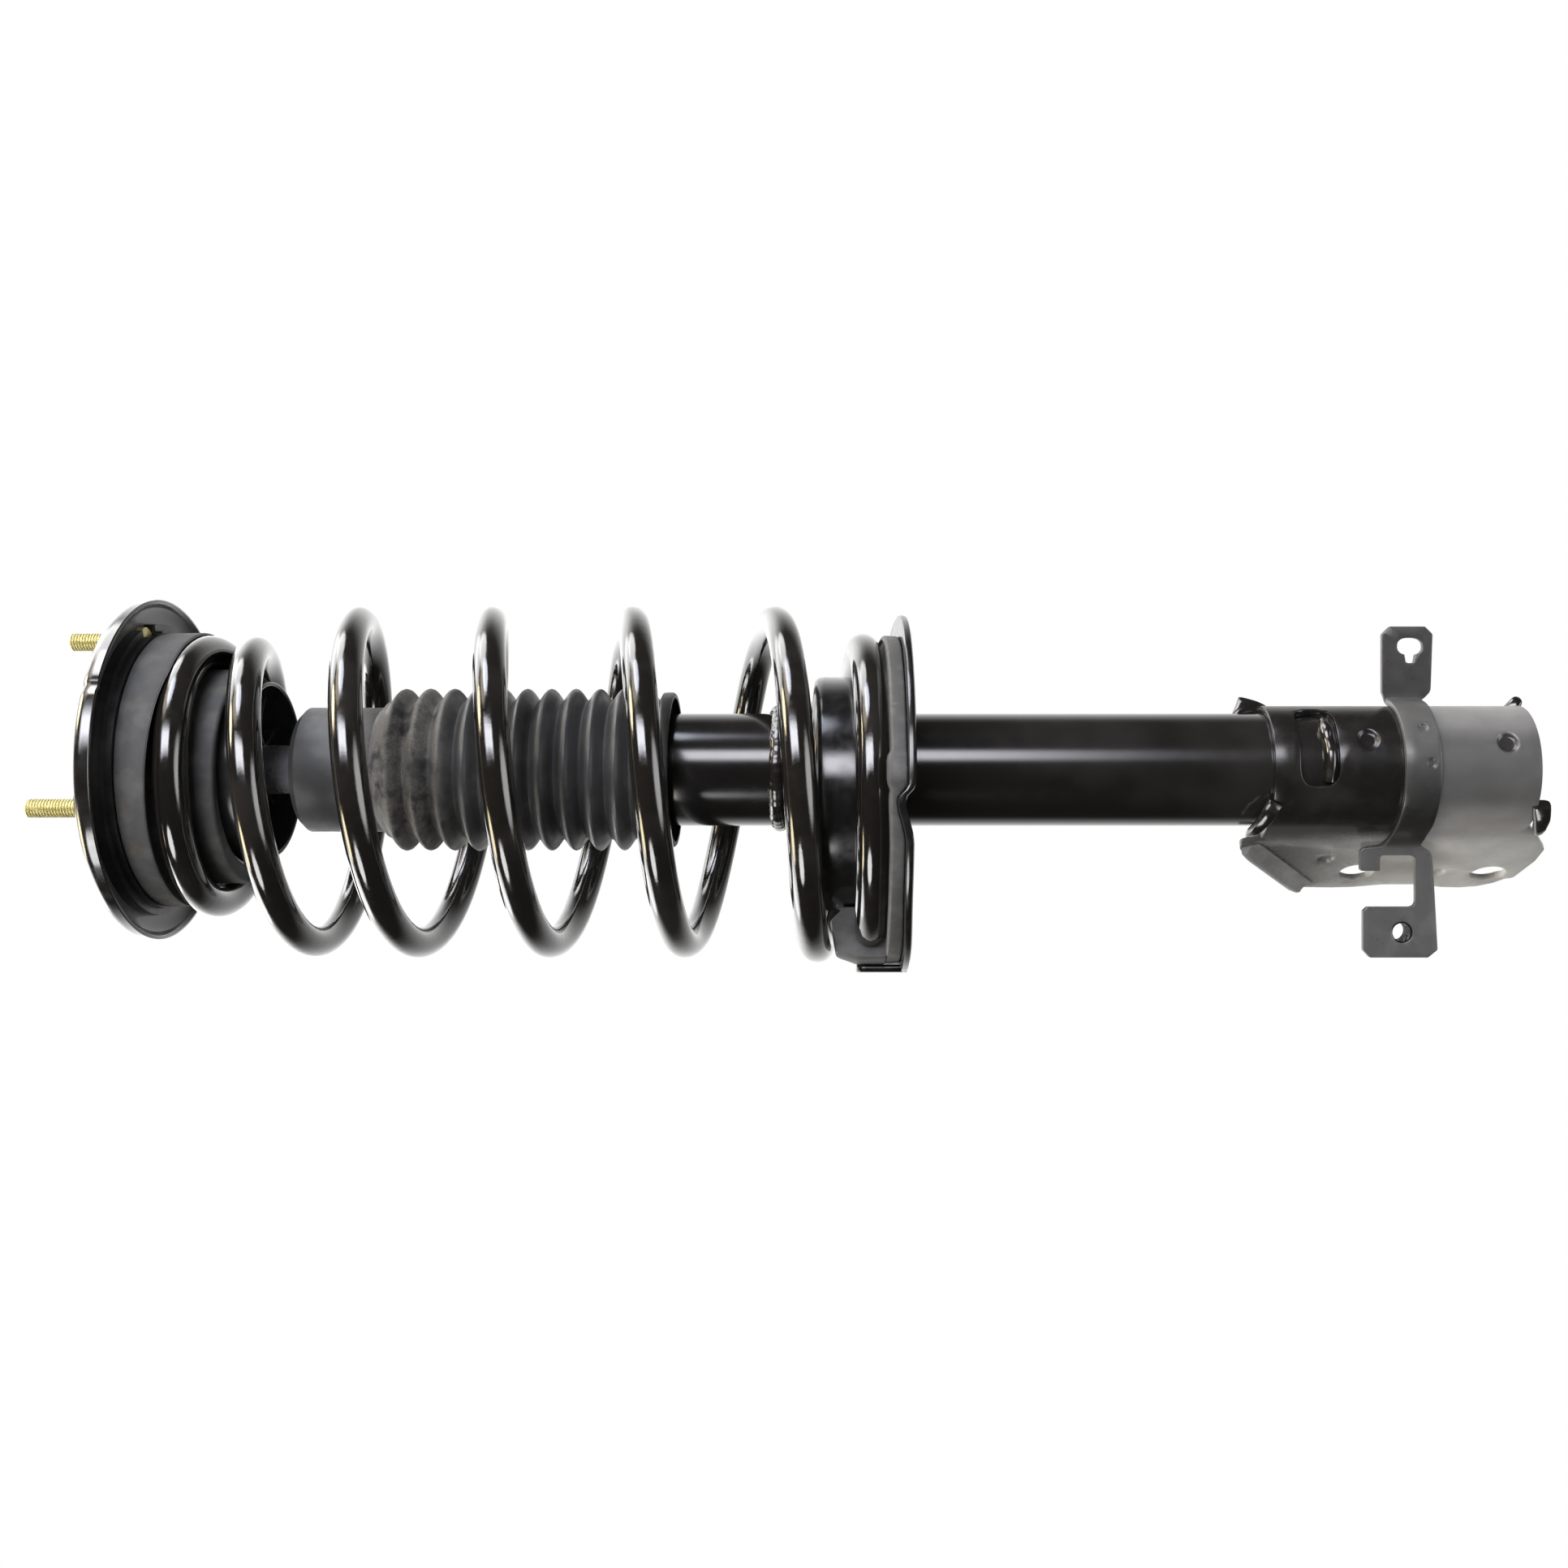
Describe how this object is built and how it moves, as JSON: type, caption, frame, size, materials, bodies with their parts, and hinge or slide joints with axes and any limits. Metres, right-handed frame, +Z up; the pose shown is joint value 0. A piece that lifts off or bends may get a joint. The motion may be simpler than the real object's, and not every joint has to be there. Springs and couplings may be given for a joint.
{
  "type": "suspension strut assembly",
  "caption": "Complete MacPherson strut: damper, coil spring, bearing top mount, dust boot and knuckle bracket, ready to bolt into a car.",
  "frame": {"origin": "centre of the mount plate's top face, where it meets the car's strut tower", "axes": "+Z up along the strut's axis, out of the mount face; +X along the knuckle bolts; +Y the way the knuckle bracket opens"},
  "size_m": [0.1673, 0.1635, 0.6655],
  "materials": {
    "plate_black": "gloss black paint on pressed steel",
    "zinc_yellow": "yellow zinc plate, rolled thread",
    "rubber_black": "moulded black rubber",
    "steel_plain": "plain machined steel",
    "plastic_black": "moulded black glass-filled nylon",
    "rod_chrome": "polished hard chrome",
    "foam_tan": "microcellular foam",
    "boot_rubber": "matte dark grey rubber, dusty",
    "sintered_iron": "sintered iron",
    "ptfe_green": "filled low-friction plastic",
    "nylon_tan": "natural nylon",
    "isolator_rubber": "matte dark grey rubber",
    "spring_black": "gloss black coat with slight orange peel",
    "tube_black": "gloss black paint",
    "bush_bronze": "sintered bronze",
    "weld_black": "gloss black paint over weld beads",
    "seat_black": "gloss black paint on pressed steel",
    "bracket_black": "black paint, gloss to satin",
    "hose_bracket_grey": "satin dark grey paint"
  },
  "bodies": {
    "top_mount": {"mount_plate": "plate_black", "mount_studs": "zinc_yellow", "mount_cup": "plate_black", "mount_rubber": "rubber_black", "mount_sleeve": "steel_plain", "rod_washer": "steel_plain", "rod_nut": "steel_plain", "jounce_cup": "plastic_black", "bearing_housing": "plastic_black", "bearing_upper_race": "steel_plain", "piston_rod": "rod_chrome", "bump_stop": "foam_tan", "dust_boot": "boot_rubber", "rebound_bumper": "rubber_black", "rebound_stop": "steel_plain", "piston": "sintered_iron", "piston_band": "ptfe_green", "valve_shims": "steel_plain", "piston_nut": "steel_plain"},
    "upper_seat": {"bearing_balls": "rod_chrome", "bearing_cage": "nylon_tan", "bearing_lower_race": "steel_plain", "upper_spring_seat": "plate_black", "upper_isolator": "isolator_rubber", "coil_spring": "spring_black"},
    "strut_body": {"strut_tube": "tube_black", "tube_cap": "tube_black", "rod_seal": "rubber_black", "rod_guide": "sintered_iron", "guide_bush": "bush_bronze", "inner_cylinder": "steel_plain", "foot_valve": "sintered_iron", "foot_valve_disc": "steel_plain", "base_cup": "tube_black", "seat_weld": "weld_black", "lower_spring_seat": "seat_black", "lower_isolator": "isolator_rubber", "knuckle_bracket": "bracket_black", "bracket_weld": "weld_black", "hose_bracket": "hose_bracket_grey"}
  },
  "joints": [
    {"name": "steer", "type": "hinge", "parent": "top_mount", "child": "upper_seat", "pos_m": [0, 0, 0], "axis": [0, 0, 1], "continuous": true},
    {"name": "stroke", "type": "slide", "parent": "upper_seat", "child": "strut_body", "axis": [0, 0, 1], "range_m": [0, 0.12], "stiffness_N_per_m": 25000, "springref_m": -0.048, "deforming": ["coil_spring", "dust_boot", "bump_stop"]}
  ]
}
